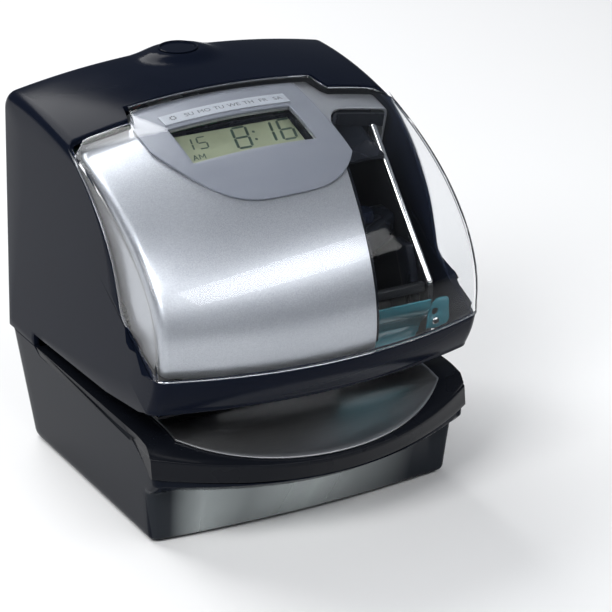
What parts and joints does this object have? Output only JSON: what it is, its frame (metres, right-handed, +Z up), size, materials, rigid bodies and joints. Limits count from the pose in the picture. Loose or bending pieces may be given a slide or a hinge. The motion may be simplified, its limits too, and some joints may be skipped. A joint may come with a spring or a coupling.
{
  "type": "punch time clock",
  "caption": "Card stamping time clock with a lift-off cover, a clear domed visor, a time display, a lock and a side-open card throat.",
  "frame": {"origin": "under the middle of the clock, on the surface it stands on", "axes": "+X to the right, +Y to the back, +Z up; the visor faces -Y"},
  "size_m": [0.1498, 0.166, 0.169],
  "materials": {
    "case_black": "satin gloss",
    "table_black": "satin",
    "silver_paint": "metallic satin",
    "bezel_grey": "satin",
    "clear_plastic": "clear gloss",
    "teal_tint": "clear gloss, tinted",
    "rubber": "matte",
    "zinc_steel": "zinc plated",
    "bright_steel": "polished",
    "brass": "machined",
    "board_green": "satin",
    "display_glass": "gloss",
    "strip_grey": "satin",
    "nylon": "satin",
    "button_red": "satin"
  },
  "bodies": {
    "base": {"lower_case": "case_black", "card_table": "table_black", "power_inlet": "table_black", "lcd_frame": "table_black", "ribbon_cartridge": "table_black", "table_plate": "silver_paint", "ribbon_mask": "teal_tint", "mask_bracket": "teal_tint", "platen": "rubber", "foot_front_left": "rubber", "foot_front_right": "rubber", "foot_rear_left": "rubber", "foot_rear_right": "rubber", "bottom_plate": "zinc_steel", "left_side_plate": "zinc_steel", "right_side_plate": "zinc_steel", "rear_cross_plate": "zinc_steel", "front_tie_bar": "zinc_steel", "upper_guide": "zinc_steel", "lock_keeper": "zinc_steel", "transformer": "zinc_steel", "display_bracket": "zinc_steel", "stepper_motor": "zinc_steel", "base_screw_front_left": "bright_steel", "base_screw_front_right": "bright_steel", "base_screw_rear_left": "bright_steel", "base_screw_rear_right": "bright_steel", "front_guide_shaft": "bright_steel", "rear_guide_shaft": "bright_steel", "mask_clip": "bright_steel", "trigger_pin": "bright_steel", "main_board": "board_green", "display_board": "board_green", "button_board": "board_green", "lcd_glass": "display_glass", "backup_battery": "button_red", "trigger_switch": "button_red"},
    "cover": {"upper_housing": "case_black", "visor": "clear_plastic", "face_panel": "silver_paint", "display_bezel": "bezel_grey", "day_strip": "strip_grey", "well_liner": "table_black", "lock_barrel": "bright_steel"},
    "lock": {"lock_plug": "bright_steel", "lock_cam": "zinc_steel"},
    "carriage": {"print_carriage": "table_black", "screw_nut": "nylon", "print_head": "zinc_steel", "head_nose": "table_black"},
    "screw": {"lead_screw": "bright_steel", "screw_gear": "nylon"},
    "pinion": {"motor_pinion": "brass"},
    "ribbon_knob": {"ribbon_knob": "bezel_grey"},
    "card_trigger": {"card_trigger": "nylon"},
    "set_button_1": {"set_button_1": "button_red"},
    "set_button_2": {"set_button_2": "button_red"},
    "set_button_3": {"set_button_3": "button_red"}
  },
  "joints": [
    {"name": "cover_lift", "type": "slide", "parent": "base", "child": "cover", "axis": [0, 0, 1], "range_m": [0, 0.125]},
    {"name": "lock_turn", "type": "hinge", "parent": "cover", "child": "lock", "pos_m": [0, 0.062, 0.158], "axis": [0, 0, 1], "range_deg": [0, 90]},
    {"name": "carriage_travel", "type": "slide", "parent": "base", "child": "carriage", "axis": [1, 0, 0], "range_m": [0, 0.078]},
    {"name": "screw_spin", "type": "hinge", "parent": "base", "child": "screw", "pos_m": [0, -0.008, 0.088], "axis": [1, 0, 0], "range_deg": [-10, 3600]},
    {"name": "pinion_spin", "type": "hinge", "parent": "base", "child": "pinion", "pos_m": [-0.0636, 0.001, 0.10359], "axis": [1, 0, 0], "range_deg": [-7200, 20]},
    {"name": "ribbon_knob_turn", "type": "hinge", "parent": "base", "child": "ribbon_knob", "pos_m": [0.036, -0.031, 0.1171], "axis": [0, 0, 1], "continuous": true},
    {"name": "card_trigger_swing", "type": "hinge", "parent": "base", "child": "card_trigger", "pos_m": [0, 0.061, 0.066], "axis": [1, 0, 0], "range_deg": [0, 12], "stiffness_Nm_per_rad": 0.02, "springref_deg": -5.73},
    {"name": "set_button_1_press", "type": "slide", "parent": "base", "child": "set_button_1", "axis": [0, 0, -1], "range_m": [0, 0.0005], "stiffness_N_per_m": 600, "springref_m": -0.0003},
    {"name": "set_button_2_press", "type": "slide", "parent": "base", "child": "set_button_2", "axis": [0, 0, -1], "range_m": [0, 0.0005], "stiffness_N_per_m": 600, "springref_m": -0.0003},
    {"name": "set_button_3_press", "type": "slide", "parent": "base", "child": "set_button_3", "axis": [0, 0, -1], "range_m": [0, 0.0005], "stiffness_N_per_m": 600, "springref_m": -0.0003}
  ],
  "couplings": [
    {"joint": "screw_spin", "follows": "carriage_travel", "rad_per_m": 785.4},
    {"joint": "pinion_spin", "follows": "carriage_travel", "rad_per_m": -1570.8}
  ]
}
